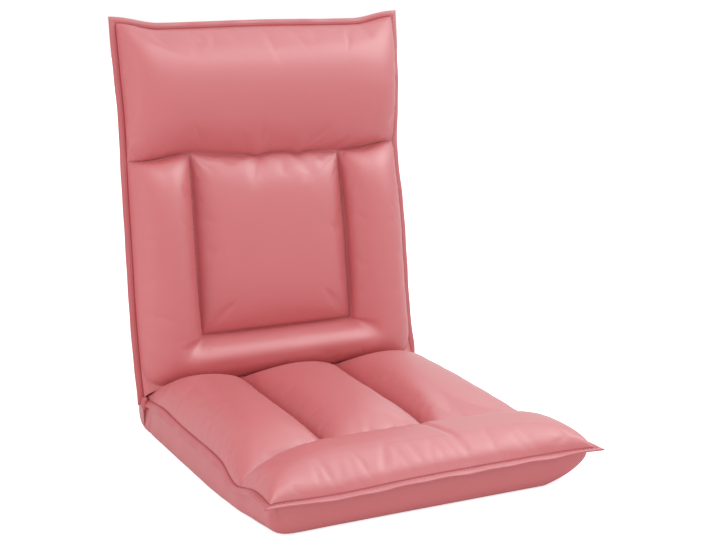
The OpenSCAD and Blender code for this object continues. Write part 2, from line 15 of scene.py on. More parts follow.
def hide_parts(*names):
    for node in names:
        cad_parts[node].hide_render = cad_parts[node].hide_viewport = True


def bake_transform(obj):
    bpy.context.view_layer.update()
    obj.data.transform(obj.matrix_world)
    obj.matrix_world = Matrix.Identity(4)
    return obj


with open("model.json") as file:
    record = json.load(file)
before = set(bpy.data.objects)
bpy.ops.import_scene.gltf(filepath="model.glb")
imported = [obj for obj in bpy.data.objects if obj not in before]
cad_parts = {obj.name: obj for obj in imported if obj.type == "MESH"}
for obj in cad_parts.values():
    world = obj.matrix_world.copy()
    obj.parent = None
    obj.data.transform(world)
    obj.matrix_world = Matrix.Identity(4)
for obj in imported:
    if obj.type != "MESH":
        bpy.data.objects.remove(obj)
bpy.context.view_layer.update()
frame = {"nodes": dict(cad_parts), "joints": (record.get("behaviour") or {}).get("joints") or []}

# Camera of the photograph, fitted to its seam corners
LENS_PX, PICTURE_W, SENSOR_MM = 1387.66, 716, 36
AZIMUTH, ELEVATION, ROLL = math.radians(-24.727), math.radians(10.62), math.radians(-1.261)
TARGET = Vector((-0.163521, -0.386533, 0.364628))
DISTANCE = 1.640032


def make_camera():
    """Camera at the photograph's viewing angle."""
    back = Vector((math.sin(AZIMUTH) * math.cos(ELEVATION),
                   -math.cos(AZIMUTH) * math.cos(ELEVATION), math.sin(ELEVATION)))
    level = Vector((math.cos(AZIMUTH), math.sin(AZIMUTH), 0))
    rise = back.cross(level)
    right = level * math.cos(ROLL) + rise * math.sin(ROLL)
    up = rise * math.cos(ROLL) - level * math.sin(ROLL)
    data = bpy.data.cameras.new("camera")
    data.sensor_fit = "HORIZONTAL"
    data.sensor_width = SENSOR_MM
    data.lens = SENSOR_MM * LENS_PX / PICTURE_W
    data.clip_end = 50
    camera = bpy.data.objects.new("camera", data)
    bpy.context.scene.collection.objects.link(camera)
    turn = Matrix((right, up, back)).transposed().to_4x4()
    camera.matrix_world = Matrix.Translation(TARGET + back * DISTANCE) @ turn
    bpy.context.scene.camera = camera


make_camera()

# The fold axis, and both halves between their seams
FOLD = next(joint for joint in frame["joints"] if joint["name"] == "back_fold")
FOLD_Y, PLANE_Z = FOLD["pos_m"][1], FOLD["pos_m"][2]
REST_FOLD = math.radians(84)
SEAT_LEN, BACK_LEN = 2 * FOLD_Y, 0.606
HALF_W = 0.245
REAR_DEPTH = 0.047  # from the seam plane to the back's rear face
RIM = 0.0025  # height of a padded face over the seam plane at its sewn edge

# Pads: their sizes, and their crowns over the seam plane
CHANNEL_W, BOLSTER_LEN = 0.166, 0.141
SIDE_BOLSTER_W, LOWER_LEN, HEAD_LEN = 0.112, 0.094, 0.221
SEAT_CROWN, BOLSTER_CROWN = 0.050, 0.039
SIDE_CROWN, PANEL_CROWN, HEAD_CROWN = 0.048, 0.035, 0.057
CROSS_LEVEL, PANEL_LEVEL = 0.007, 0.005  # heights of the sewn lines between the pads
CROSS_MID, HEAD_SEAM = SEAT_LEN - BOLSTER_LEN, BACK_LEN - HEAD_LEN
CHANNEL_SHARE = CHANNEL_W / 2 / HALF_W
PANEL_SHARE = 1 - SIDE_BOLSTER_W / HALF_W

# Where the padded faces of both halves meet at the fold, a little apart
FOLD_REACH, FOLD_EASE = 0.0203, 0.977
FOLD_SLOPE = FOLD_EASE * math.tan(math.pi / 2 - REST_FOLD / 2)
FOLD_LEVEL = FOLD_SLOPE * FOLD_REACH
FOLD_RUN = 0.096  # length over which the channels rise from the fold

# Form of the pads, as powers, most of them for round_edge: 2 is round, and a higher one is flatter on top
VALLEY_POWER, FOOT_POWER, CROSS_POWER = 6, 3, 3.6
CHANNEL_END, CHANNEL_END_RIGHT = 8, 4.5
BOLSTER_ALONG, BOLSTER_LEFT, BOLSTER_RIGHT = 3.1, 5, 12
HEAD_ALONG, HEAD_ACROSS = 2.1, 8
PANEL_POWER, SIDE_END = 4, 10
BOLSTER_SKEW, HEAD_SKEW = 0.87, 1.28  # below 1 the crown lies nearer the fold, above 1 further from it
PUFF_PEAK, PUFF_RISE, PUFF_FALL = 1.435, 3, 1.6

# How the cloth lies: the seams are drawn in, swept, and pushed to the left
SIDE_DRAW, SIDE_BULGE = 0.008, 0.0057  # at mid length: the seat's seam inwards, its base outwards
FRONT_DRAW, TOP_DRAW, TOP_CROWN = 0.008, 0.0115, 0.0015
CROSS_SWEEP = 0.027  # the cross seam's ends lie nearer the front than its middle
SEAM_DRIFT, FOLD_DRIFT, PANEL_DRIFT = 0.0165, 0.0055, 0.0085
RIGHT_START, RIGHT_FALL = 0.3, 0.40  # the right channel loses this share of its height at the cross seam
CREASE, CREASE_X, CREASE_LEAN, CREASE_W = 0.0022, 0.020, 0.25, 0.006  # the slack line across the bolster
TUCK, TUCK_Y, TUCK_LEAN, TUCK_W = 0.004, 0.021, 0.1, 0.0035  # the crease in the base beside the heel
RIPPLE, REAR_WAVE = 0.0008, 0.0007
LEFT_TOP, LEFT_HEAD, LEFT_LOW = 0.0025, 0.003, 0.0022  # the back's sides, drawn in and let out
RIGHT_BOW, RIGHT_HEAD, RIGHT_LOW = 0.0045, 0.0085, 0.0055
LEFT_PULL, RIGHT_PULL, END_PULL, SCALLOP = 0.0090, 0.0025, 0.006, 0.0042  # the head pillow's seam
HEEL_RISE, CROSS_HANG, SEAM_SHIFT, FRONT_SAG = 0.006, 0.014, 0.005, 0.0040  # the seat's hanging seam

# Place and width of these waves; those at a seam are counted from it
LEFT_HEAD_AT, LEFT_LOW_AT = (0.07, 0.09), (0.13, 0.10)
RIGHT_HEAD_AT, RIGHT_LOW_AT = (-0.01, 0.085), (0.11, 0.15)
LEFT_PULL_AT, RIGHT_PULL_AT, PANEL_DRIFT_AT = (-PANEL_SHARE, 0.22), (PANEL_SHARE, 0.20), (-PANEL_SHARE, 0.3)
LEFT_SCALLOP_AT, RIGHT_SCALLOP_AT = (-0.022, 0.011), (0.051, 0.011)
PULL_REACH, SCALLOP_REACH = 0.05, 0.014
RISE_AT, HANG_AT, HEEL_AT, SAG_AT = (0.085, 0.06), (0.005, 0.05), (0, 0.035), (-0.15, 0.09)

# Rounding of the base and of the rear cover
SIDE_ROUND, FRONT_ROUND, REAR_ROUND = 0.012, 0.0345, 0.060
CORNER_LEFT, CORNER_RIGHT, CORNER_TAPER = 0.095, 0.118, 0.082
ROUND_POWER, ROUND_ROOT, TAPER_ROOT = 6, 0.36, 0.42
HEEL_CORNER, HEEL_SIDE = 0.0045, 0.0048  # extra fullness of the heel, behind and at its sides


# Shape functions of a stuffed cover; f is the share of the half width, s and t run from 0 to 1
def smooth(x):
    x = np.clip(x, 0, 1)
    return x * x * (3 - 2 * x)


def bump(x, place, width):
    """A wave with a height of 1."""
    return np.exp(-((x - place) / width) ** 2)


def round_edge(f, power):
    """1 in the middle and 0 at -1 and 1: a circle at power 2, and flatter on top with a higher power."""
    return np.sqrt(np.clip(1 - np.abs(f) ** power, 0, None))


def stuffed(t):
    return np.sqrt(np.clip(4 * t * (1 - t), 0, None))


def fold_rise(s, power=2.5):
    return 1 - (1 - np.clip(s, 0, 1)) ** power


def in_seat(p):
    """Seat cushion frame to row frame, for an array of points."""
    return np.stack([p[..., 0], FOLD_Y - p[..., 1], PLANE_Z + p[..., 2]], -1)


def in_hung_seat(p):
    """As in_seat, with the photograph's uneven seam.

    On the left it rises near the heel and hangs low at the cross seam's end, and the front seam sags.
    """
    q = np.array(p, float)
    y = q[..., 1]
    upper = np.clip(1 + q[..., 2] / PLANE_Z, 0, 1)
    left = smooth((-q[..., 0] / HALF_W - 0.5) / 0.5) * upper
    low = bump(y - CROSS_MID, *HANG_AT) * left
    high = bump(y, *RISE_AT) * smooth(y / 0.04) * left
    q[..., 0] += SEAM_SHIFT * bump(y, *HEEL_AT) * left - SEAM_SHIFT * low
    front = smooth((y - SEAT_LEN + 0.07) / 0.05) * upper
    sag = bump(q[..., 0], *SAG_AT) * smooth((q[..., 0] + 0.25) / 0.06) * front
    q[..., 2] += HEEL_RISE * high - CROSS_HANG * low - FRONT_SAG * sag
    return in_seat(q)


def in_back(p):
    """Back cushion frame to row frame, for an array of points."""
    c, s = math.cos(REST_FOLD), math.sin(REST_FOLD)
    return np.stack([p[..., 0], FOLD_Y + p[..., 1] * c - p[..., 2] * s,
                     PLANE_Z + p[..., 1] * s + p[..., 2] * c], -1)


def seat_half_w(y):
    return HALF_W - SIDE_DRAW * np.clip(1 - (2 * y / SEAT_LEN - 1) ** 4, 0, None)


def back_half_w(y, f):
    """The back is drawn in more on its right side, most of all at the head pillow's seam."""
    bow = np.clip(1 - (2 * y / BACK_LEN - 1) ** 2, 0, None)
    clear = smooth(y / 0.05)
    left = (LEFT_TOP * smooth(y / BACK_LEN) + LEFT_HEAD * bump(y - HEAD_SEAM, *LEFT_HEAD_AT)
            - LEFT_LOW * clear * bump(y, *LEFT_LOW_AT))
    right = (RIGHT_BOW * bow + RIGHT_HEAD * bump(y - HEAD_SEAM, *RIGHT_HEAD_AT)
             + RIGHT_LOW * clear * bump(y, *RIGHT_LOW_AT))
    return HALF_W - np.where(f < 0, left, right)


def seat_front(f):
    return SEAT_LEN - FRONT_DRAW * (1 - np.abs(f) ** 8)


def back_top(f):
    """The top edge lies inside the line between its pointed corners, a little less in the middle."""
    return BACK_LEN - (TOP_DRAW * smooth((1 - np.abs(f)) / 0.3) - TOP_CROWN * smooth(1 - np.abs(f) / 0.6))


def cross_seam(f):
    return CROSS_MID + CROSS_SWEEP * np.abs(f) ** CROSS_POWER


def valley(f, level):
    """Height along a sewn line, which comes down to the rim at both sides."""
    return RIM + (level - RIM) * round_edge(f, VALLEY_POWER)


def fold_start(f):
    return valley(f, FOLD_LEVEL) / FOLD_SLOPE


def channel_across(f):
    a = np.abs(f)
    outer = stuffed((a - CHANNEL_SHARE) / (1 - CHANNEL_SHARE))
    return np.where(a < CHANNEL_SHARE, round_edge(f / CHANNEL_SHARE, 2), outer)


def gathers(run, away, places, reach):
    """Depth of the small folds beside a sewn line; each has a place, width, depth and lean."""
    depth = 0 * run
    near = np.clip(away / reach, 0, None)
    for place, width, deep, lean in places:
        depth = depth + deep * bump(run - place, lean * away, width)
    return depth * near * np.exp(1 - near)


def even_gathers(seed, first, last, pitch, width, deep):
    """Gathers at uneven steps along a sewn line."""
    pick = np.random.RandomState(seed)
    places = np.arange(first, last, pitch)
    places = places + pick.uniform(-0.35, 0.35, len(places)) * pitch
    return [(place, width * pick.uniform(0.7, 1.3), deep * pick.uniform(0.2, 1.0), pick.uniform(-0.5, 0.5))
            for place in places]


HEAD_GATHERS = [(-0.118, 0.010, 0.0012, 0.3), (-0.075, 0.011, 0.0010, -0.4), (-0.022, 0.009, 0.0026, -0.5),
                (0.012, 0.010, 0.0010, 0.3), (0.051, 0.010, 0.0026, 0.4), (0.094, 0.010, 0.0012, -0.3)]
WELT_GATHERS = (even_gathers(3, -0.17, 0.05, 0.017, 0.0045, 0.0012)
                + even_gathers(5, 0.10, 0.24, 0.03, 0.006, 0.0009))
SIDE_GATHERS = even_gathers(7, 0.02, 0.55, 0.04, 0.009, 0.0011)
TOP_GATHERS = even_gathers(11, -0.20, 0.21, 0.035, 0.008, 0.0012)
REAR_SIDE_GATHERS = even_gathers(17, 0.05, 0.58, 0.07, 0.013, 0.0042)
REAR_TOP_GATHERS = even_gathers(19, -0.20, 0.21, 0.06, 0.012, 0.0040)
CROSS_GATHERS = even_gathers(13, -0.21, 0.22, 0.035, 0.008, 0.0010)

# How far these folds run out from their seam
WELT_REACH, SEAT_SIDE_REACH, CROSS_REACH = 0.011, 0.014, 0.012
HEAD_REACH, TOP_REACH, BACK_SIDE_REACH = 0.013, 0.013, 0.011
REAR_SIDE_REACH, REAR_TOP_REACH = 0.045, 0.05


def folded(z, folds):
    """Height of a padded face with its small folds, which never cut below the rim."""
    return np.maximum(z - folds, np.minimum(z, RIM))


def seat_points(f, part, s):
    """The seat's padded face: part 0 holds the channels, part 1 the front bolster."""
    start, cross = fold_start(f), cross_seam(f)
    y = np.where(part == 0, start + s * (cross - start), cross + s * (seat_front(f) - cross))
    right = smooth((f - RIGHT_START) / 0.3)
    level = CROSS_LEVEL + (FOLD_LEVEL - CROSS_LEVEL) * (1 - s) ** 4
    rise = fold_rise(s * (cross - start) / FOLD_RUN)
    channels = valley(f, level) + ((SEAT_CROWN - level) * channel_across(f) * rise
                                   * round_edge(s, CHANNEL_END - (CHANNEL_END - CHANNEL_END_RIGHT) * right)
                                   * (1 - RIGHT_FALL * s ** 3 * right))
    bolster = (RIM + (valley(f, CROSS_LEVEL) - RIM) * round_edge(s, FOOT_POWER)
               + (BOLSTER_CROWN - CROSS_LEVEL) * round_edge(2 * s ** BOLSTER_SKEW - 1, BOLSTER_ALONG)
               * round_edge(f, np.where(f > 0, BOLSTER_RIGHT, BOLSTER_LEFT)))
    run = np.clip(y / CROSS_MID, 0, 1)
    drift = SEAM_DRIFT * run + FOLD_DRIFT * (1 - run) * np.clip(-f / CHANNEL_SHARE, 0, 1)
    x = f * seat_half_w(y) - drift * (1 - f ** 4)
    front_gap, side_gap, cross_gap = seat_front(f) - y, seat_half_w(y) - np.abs(x), np.abs(y - cross)
    crease = CREASE * bump(x - CREASE_X, CREASE_LEAN * (y - cross), CREASE_W) * stuffed(s) * (part == 1)
    folds = (gathers(x, front_gap, WELT_GATHERS, WELT_REACH)
             + gathers(y, side_gap, SIDE_GATHERS, SEAT_SIDE_REACH)
             + gathers(x, cross_gap, CROSS_GATHERS, CROSS_REACH) + crease)
    return np.stack([x, y, folded(np.where(part == 0, channels, bolster), folds)], -1)


def lower_puff(s):
    """Rise of the lower bolster from the fold to its crown and steeply down to its sewn line."""
    return PUFF_PEAK * fold_rise(s, PUFF_RISE) * round_edge(s, 2) ** PUFF_FALL


def corner_puff(r, q):
    """Where a side bolster turns into the lower one; r and q are the shares across each."""
    t = np.minimum(1, (r ** 4 + q ** 4) ** 0.25)
    share = r * r / (r * r + q * q + 0.0001)
    return share * stuffed(t) + (1 - share) * lower_puff(1 - t)


def head_seam_pull(f, x, y):
    """The head pillow's seam is drawn up by the left lengthwise seam and scalloped between both."""
    pull = (LEFT_PULL * bump(f, *LEFT_PULL_AT) * (1 - f ** 6) - RIGHT_PULL * bump(f, *RIGHT_PULL_AT)
            + END_PULL * smooth((f - 0.7) / 0.25))
    scallop = SCALLOP * (bump(x, *LEFT_SCALLOP_AT) + bump(x, *RIGHT_SCALLOP_AT))
    return pull * bump(y, HEAD_SEAM, PULL_REACH) - scallop * bump(y, HEAD_SEAM, SCALLOP_REACH)


def back_points(f, part, s):
    """The back's padded face: part 0 is the lower bolster, 1 the panel and sides, 2 the head pillow."""
    start = fold_start(f)
    y = np.where(part == 0, start + s * (LOWER_LEN - start),
                 np.where(part == 1, LOWER_LEN + s * (HEAD_SEAM - LOWER_LEN),
                          HEAD_SEAM + s * (back_top(f) - HEAD_SEAM)))
    side_t = np.clip((np.abs(f) - PANEL_SHARE) / (1 - PANEL_SHARE), 0, 1)
    inside = np.abs(f) <= PANEL_SHARE
    head = (RIM + (valley(f, PANEL_LEVEL) - RIM) * round_edge(s, FOOT_POWER)
            + (HEAD_CROWN - PANEL_LEVEL) * round_edge(2 * s ** HEAD_SKEW - 1, HEAD_ALONG)
            * round_edge(f, HEAD_ACROSS))
    level = PANEL_LEVEL + (FOLD_LEVEL - PANEL_LEVEL) * (1 - s) ** 2
    lower = valley(f, level) + (SIDE_CROWN - level) * np.where(
        inside, lower_puff(s), corner_puff(side_t, 1 - s))
    panel = ((PANEL_CROWN - PANEL_LEVEL) * round_edge(np.clip(f / PANEL_SHARE, -1, 1), PANEL_POWER)
             * round_edge(2 * s - 1, PANEL_POWER))
    sides = (SIDE_CROWN - PANEL_LEVEL) * stuffed(side_t) * round_edge(s, SIDE_END)
    middle = valley(f, PANEL_LEVEL) + np.where(inside, panel, sides)
    z = np.where(part == 0, lower, np.where(part == 1, middle, head))
    x = f * back_half_w(y, f) - PANEL_DRIFT * (1 - f ** 4) * bump(f, *PANEL_DRIFT_AT)
    top_gap, side_gap = back_top(f) - y, back_half_w(y, f) - np.abs(x)
    folds = (gathers(x, np.clip(HEAD_SEAM - y, 0, None), HEAD_GATHERS, HEAD_REACH)
             + gathers(x, top_gap, TOP_GATHERS, TOP_REACH)
             + gathers(y, side_gap, SIDE_GATHERS, BACK_SIDE_REACH))
    return np.stack([x, y + head_seam_pull(f, x, y), folded(z, folds)], -1)


def rounded(f, along, side_radius, end_radius, length):
    """Fullness of a flat side that rounds off towards its side and end seams."""
    over = np.clip((np.abs(f) * HALF_W - HALF_W + side_radius) / side_radius, 0, 1)
    end = np.clip((along * length - length + end_radius) / end_radius, 0, 1)
    return np.clip(1 - over ** ROUND_POWER - end ** ROUND_POWER, 0, None) ** ROUND_ROOT


def seat_share(f, s):
    """The base has upright sides and a rounded front; its corners are drawn together like a pillow's."""
    corner = np.where(f < 0, CORNER_LEFT, CORNER_RIGHT)
    radius = SIDE_ROUND + (corner - SIDE_ROUND) * np.clip((s - 0.55) / 0.45, 0, None) ** 2
    to_corner = (1 - f) * HALF_W + (1 - s) * SEAT_LEN
    drawn = np.clip(to_corner / CORNER_TAPER, 0, 1) ** TAPER_ROOT
    return rounded(f, s, radius, FRONT_ROUND, SEAT_LEN) * drawn


def rear_share(f, s):
    """The back's rear has upright sides at the heel and rounds off towards the seams above it."""
    radius = SIDE_ROUND + (REAR_ROUND - SIDE_ROUND) * smooth(s / 0.1)
    return rounded(f, s, radius, REAR_ROUND, BACK_LEN)


def seat_under_points(f, s):
    """The base cover from the seam down: its sides stand out most at mid length and less at the heel."""
    y = s * seat_front(f)
    share = seat_share(f, s)
    full = SIDE_DRAW + SIDE_BULGE
    out = full - (full - HEEL_SIDE * (s < 0.5)) * (2 * s - 1) ** 4
    between = stuffed(share)
    tuck = TUCK * bump(y - TUCK_Y, TUCK_LEAN * share * PLANE_Z, TUCK_W) * between
    ripples = RIPPLE * np.sin(y / 0.013 + 3 * f) * np.sin(y / 0.041) * between
    x = f * (seat_half_w(y) + out * share - tuck + ripples)
    return np.stack([x, y, -RIM - (PLANE_Z - RIM) * share], -1)


def back_under_points(f, s):
    """The back's rear cover, with sewn folds beside its seams and slow waves between them."""
    y = s * back_top(f)
    x = f * back_half_w(y, f)
    share = rear_share(f, s)
    waves = REAR_WAVE * (1 + np.sin(x / 0.034 + 2 * np.sin(y / 0.09)) * np.sin(y / 0.06 + x / 0.11))
    folds = (gathers(y, HALF_W - np.abs(x), REAR_SIDE_GATHERS, REAR_SIDE_REACH)
             + gathers(x, BACK_LEN - y, REAR_TOP_GATHERS, REAR_TOP_REACH) + waves)
    return np.stack([x, y, -RIM - (REAR_DEPTH - RIM) * share + folds * share * smooth(s / 0.06)], -1)


# Grid lines
EVEN_SHARE, CLOSE_SHARE = 0.45, 0.55


def both_ends(a, b, n):
    """Steps from a to b that lie closer together at both ends."""
    k = np.linspace(0, 1, n + 1)
    return a + (b - a) * (EVEN_SHARE * k + CLOSE_SHARE * (1 - np.cos(np.pi * k)) / 2)


def across(share, side_n, mid_n):
    """Columns from side to side with grid lines on the two lengthwise seams."""
    return np.concatenate([both_ends(-1, -share, side_n), both_ends(-share, share, mid_n)[1:],
                           both_ends(share, 1, side_n)[1:]])


def along(counts):
    """Rows as (part, s), with grid lines on the seams between the parts."""
    rows = [(0, 0.0)]
    for part, n in enumerate(counts):
        rows += [(part, s) for s in both_ends(0, 1, n)[1:]]
    return rows


def grid_of(points, cols, rows):
    f = np.tile(cols, (len(rows), 1))
    part = np.tile(np.array([[r[0]] for r in rows]), (1, len(cols)))
    s = np.tile(np.array([[r[1]] for r in rows]), (1, len(cols)))
    return points(f, part, s)


# Mesh building
def make_object(name, points, faces, uv=None, seam=None, sharp=None):
    mesh = bpy.data.meshes.new(name)
    mesh.from_pydata([tuple(p) for p in points], [], [tuple(int(i) for i in face) for face in faces])
    mesh.update()
    mesh.polygons.foreach_set("use_smooth", [True] * len(mesh.polygons))
    layer = mesh.uv_layers.new(name="cloth")
    places = np.asarray(points)[:, :2] if uv is None else np.asarray(uv)
    corner = np.zeros(len(mesh.loops), np.int32)
    mesh.loops.foreach_get("vertex_index", corner)
    layer.data.foreach_set("uv", places[corner].astype(np.float32).ravel())
    # The seam attribute holds painted shade along the sewn lines
    if seam is not None:
        mesh.attributes.new("seam", "FLOAT", "POINT").data.foreach_set("value", np.asarray(seam, np.float32))
    if sharp:
        flags = [tuple(sorted(e.vertices)) in sharp for e in mesh.edges]
        mesh.attributes.new("sharp_edge", "BOOLEAN", "EDGE").data.foreach_set("value", flags)
    obj = bpy.data.objects.new(name, mesh)
    bpy.context.scene.collection.objects.link(obj)
    return obj


def grid_faces(rows, cols, turned=False):
    """Quads over a grid of points; turned flips them."""
    r, c = np.meshgrid(np.arange(rows - 1), np.arange(cols - 1), indexing="ij")
    a = (r * cols + c).ravel()
    quads = np.stack([a, a + 1, a + cols + 1, a + cols], -1)
    return quads[:, ::-1] if turned else quads


def rim_loop(rows, cols):
    """Point numbers round a grid's edge, in order."""
    return (list(range(cols)) + [r * cols + cols - 1 for r in range(1, rows)]
            + [(rows - 1) * cols + c for c in range(cols - 2, -1, -1)]
            + [r * cols for r in range(rows - 2, 0, -1)])


def closed_form(name, grid, place, seam, turned=False):
    """A closed cushion from a padded grid to a flat hidden face on the seam plane."""
    rows, cols = grid.shape[:2]
    points = grid.reshape(-1, 3)
    loop = rim_loop(rows, cols)
    foot = points[loop].copy()
    foot[:, 2] = 0
    middle = foot.mean(0, keepdims=True)
    n, half = len(loop), rows * cols
    faces = [tuple(q) for q in grid_faces(rows, cols, turned)]
    for k in range(n):
        a, b, p, q = loop[k], loop[(k + 1) % n], half + k, half + (k + 1) % n
        faces.append((a, b, q, p) if turned else (b, a, p, q))
        faces.append((p, q, half + n) if turned else (q, p, half + n))
    sharp = {tuple(sorted((loop[k], loop[(k + 1) % n]))) for k in range(n)}
    sharp |= {tuple(sorted((half + k, half + (k + 1) % n))) for k in range(n)}
    every = np.concatenate([points, foot, middle])
    # The hidden flat face gets full painted shade
    painted_shade_marks = np.concatenate([seam.ravel(), np.ones(n + 1)])
    return make_object(name, place(every), faces, every[:, :2], painted_shade_marks, sharp)


# Materials
def set_inputs(made, **values):
    for key, value in values.items():
        made.inputs[key.replace("_", " ")].default_value = value


def node(tree, kind, **settings):
    made = tree.nodes.new(kind)
    for key, value in settings.items():
        if key in made.bl_rna.properties:
            setattr(made, key, value)
        else:
            set_inputs(made, **{key: value})
    return made


def new_material(name):
    material = bpy.data.materials.new(name)
    material.use_nodes = True
    tree = material.node_tree
    return material, tree, tree.nodes["Principled BSDF"]


def tinted(tree, factor, colour, darker, paler):
    """A colour that varies between a darker and a paler shade with a texture's factor."""
    tint = node(tree, "ShaderNodeMix", data_type="RGBA", blend_type="MIX")
    tint.inputs["A"].default_value = (*[c * darker for c in colour], 1)
    tint.inputs["B"].default_value = (*[min(1, c * paler) for c in colour], 1)
    tree.links.new(factor, tint.inputs["Factor"])
    return tint.outputs["Result"]


def leather(name, colour, roughness):
    """Smooth coated leather: fine grain and pores, soft creases, cloudy colour, and painted shade in the
    seams.
    """
    material, tree, shader = new_material(name)
    link = tree.links.new
    place = node(tree, "ShaderNodeUVMap", uv_map="cloth")
    cloud = node(tree, "ShaderNodeTexNoise", Scale=9.0, Detail=3.0, Roughness=0.5)
    grain = node(tree, "ShaderNodeTexVoronoi", Scale=1100.0, feature="SMOOTH_F1")
    pores = node(tree, "ShaderNodeTexNoise", Scale=420.0, Detail=2.0, Roughness=0.6)
    crease = node(tree, "ShaderNodeTexNoise", Scale=34.0, Detail=2.0, Roughness=0.5)
    for texture in (cloud, grain, pores, crease):
        link(place.outputs["UV"], texture.inputs["Vector"])
    # Painted shade: the colour is multiplied darker along the sewn lines
    seam = node(tree, "ShaderNodeAttribute", attribute_name="seam")
    shade = node(tree, "ShaderNodeMix", data_type="RGBA", blend_type="MULTIPLY")
    shade.inputs["B"].default_value = PAINTED_SEAM_SHADE
    link(seam.outputs["Fac"], shade.inputs["Factor"])
    link(tinted(tree, cloud.outputs["Fac"], colour, 0.965, 1.035), shade.inputs["A"])
    link(shade.outputs["Result"], shader.inputs["Base Color"])
    rough = node(tree, "ShaderNodeMapRange", To_Min=roughness - 0.04, To_Max=roughness + 0.05)
    link(pores.outputs["Fac"], rough.inputs["Value"])
    link(rough.outputs["Result"], shader.inputs["Roughness"])
    fine = node(tree, "ShaderNodeBump", Strength=0.10, Distance=0.0004)
    link(grain.outputs["Distance"], fine.inputs["Height"])
    soft = node(tree, "ShaderNodeBump", Strength=0.10, Distance=0.0015)
    link(crease.outputs["Fac"], soft.inputs["Height"])
    link(fine.outputs["Normal"], soft.inputs["Normal"])
    link(soft.outputs["Normal"], shader.inputs["Normal"])
    set_inputs(shader, Specular_IOR_Level=0.52, Coat_Weight=0.25, Coat_Roughness=0.34,
               Sheen_Weight=0.05, Sheen_Roughness=0.4)
    return material


def metal(name, colour, roughness, metallic):
    """Steel with a brushed or painted finish, small scratches and slightly worn patches."""
    material, tree, shader = new_material(name)
    link = tree.links.new
    place = node(tree, "ShaderNodeTexCoord")
    patches = node(tree, "ShaderNodeTexNoise", Scale=35.0, Detail=4.0)
    scratches = node(tree, "ShaderNodeTexNoise", Scale=600.0, Detail=2.0)
    for texture in (patches, scratches):
        link(place.outputs["Object"], texture.inputs["Vector"])
    link(tinted(tree, patches.outputs["Fac"], colour, 0.8, 1.15), shader.inputs["Base Color"])
    rough = node(tree, "ShaderNodeMapRange", To_Min=roughness - 0.1, To_Max=roughness + 0.12)
    link(scratches.outputs["Fac"], rough.inputs["Value"])
    link(rough.outputs["Result"], shader.inputs["Roughness"])
    bump_map = node(tree, "ShaderNodeBump", Strength=0.15, Distance=0.0002)
    link(scratches.outputs["Fac"], bump_map.inputs["Height"])
    link(bump_map.outputs["Normal"], shader.inputs["Normal"])
    set_inputs(shader, Metallic=metallic)
    return material


def linear(red, green, blue):
    """A colour as a picture shows it, to the shader's linear values."""
    return [((c / 255 + 0.055) / 1.055) ** 2.4 for c in (red, green, blue)]


PAINTED_SEAM_SHADE = (0.88, 0.88 * 0.86, 0.88 * 0.86, 1)  # painted shade: multiplies the colour in the seams
LEATHER = leather("leather_cover", linear(212, 115, 119), 0.42)
# The sewn edges and tabs: the same leather painted darker, as painted shade
EDGE = leather("leather_edge", linear(205, 106, 111), 0.44)
THREAD = leather("sewing_thread", linear(190, 96, 104), 0.6)
STEEL = metal("tube_steel", linear(38, 38, 40), 0.45, 0.0)
ZINC = metal("zinc_steel", linear(186, 188, 192), 0.38, 1.0)

# Cushions
DETAIL = 1.0
PAINTED_SHADE_REACH = 0.0035  # width of the band of painted shade beside a sewn line
SWELL_CAP, CALM_CUT, CALM_REACH = 0.0026, 0.0019, 0.09  # the cap is lower above the lower bolster
CLOTH = {"quality": 6, "mass": 0.15, "tension_stiffness": 12, "compression_stiffness": 12,
         "shear_stiffness": 4, "bending_stiffness": 0.4, "air_damping": 2, "vertex_group_mass": "sewn",
         "shrink_min": -0.007, "use_pressure": True, "uniform_pressure_force": 4}
CLOTH_FRAMES = 20


def count(n):
    return max(4, int(n * DETAIL))


def painted_shade_mask(grid, lines_across, lines_along):
    """Mask of painted shade: 1 on the sewn lines, falling off beside them; a line along has a column and its
    first and last row.
    """
    mark = np.zeros(grid.shape[:2])
    for r in lines_across:
        gap = np.abs(grid[:, :, 1] - grid[r, :, 1][None])
        mark = np.maximum(mark, np.exp(-gap / PAINTED_SHADE_REACH))
    for c, first, last in lines_along:
        gap = np.abs(grid[:, :, 0] - grid[:, c, 0][:, None])
        gap[:first] = 1
        gap[last + 1:] = 1
        mark = np.maximum(mark, np.exp(-gap / PAINTED_SHADE_REACH))
    return mark


def swollen(name, grid, pinned, cap):
    """Cloth under pressure, held along its sewn lines; no point moves further than cap."""
    rows, cols = grid.shape[:2]
    sheet = make_object(name, grid.reshape(-1, 3), grid_faces(rows, cols))
    group = sheet.vertex_groups.new(name="sewn")
    group.add([int(i) for i in np.flatnonzero(pinned.ravel())], 1.0, "REPLACE")
    cloth = sheet.modifiers.new("cloth", "CLOTH")
    for key, value in CLOTH.items():
        setattr(cloth.settings, key, value)
    cloth.settings.effector_weights.gravity = 0
    cloth.collision_settings.use_collision = False
    scene = bpy.context.scene
    for step in range(1, CLOTH_FRAMES + 1):
        scene.frame_set(step)
    shown = sheet.evaluated_get(bpy.context.evaluated_depsgraph_get()).to_mesh()
    moved = np.zeros(rows * cols * 3, np.float32)
    shown.vertices.foreach_get("co", moved)
    moved = moved.reshape(rows, cols, 3) - grid
    mesh = sheet.data
    bpy.data.objects.remove(sheet)
    bpy.data.meshes.remove(mesh)
    scene.frame_set(1)
    size = np.linalg.norm(moved, axis=-1, keepdims=True)
    return grid + moved * np.where(size > 1e-9, cap * np.tanh(size / cap) / np.maximum(size, 1e-9), 0)


def pinned_lines(shape, rows, cols):
    held = np.zeros(shape, bool)
    held[rows] = True
    held[:, [0, -1]] = True
    for c, first, last in cols:
        held[first:last + 1, c] = True
    return held


def under_cushion(name, points, along_n, place):
    """A cover's plain face, from the seam plane down or back."""
    f, s = np.meshgrid(both_ends(-1, 1, count(90)), both_ends(0, 1, count(along_n)), indexing="xy")
    under = points(f, s)
    return closed_form(name, under, place, np.zeros(under.shape[:2]), turned=True)


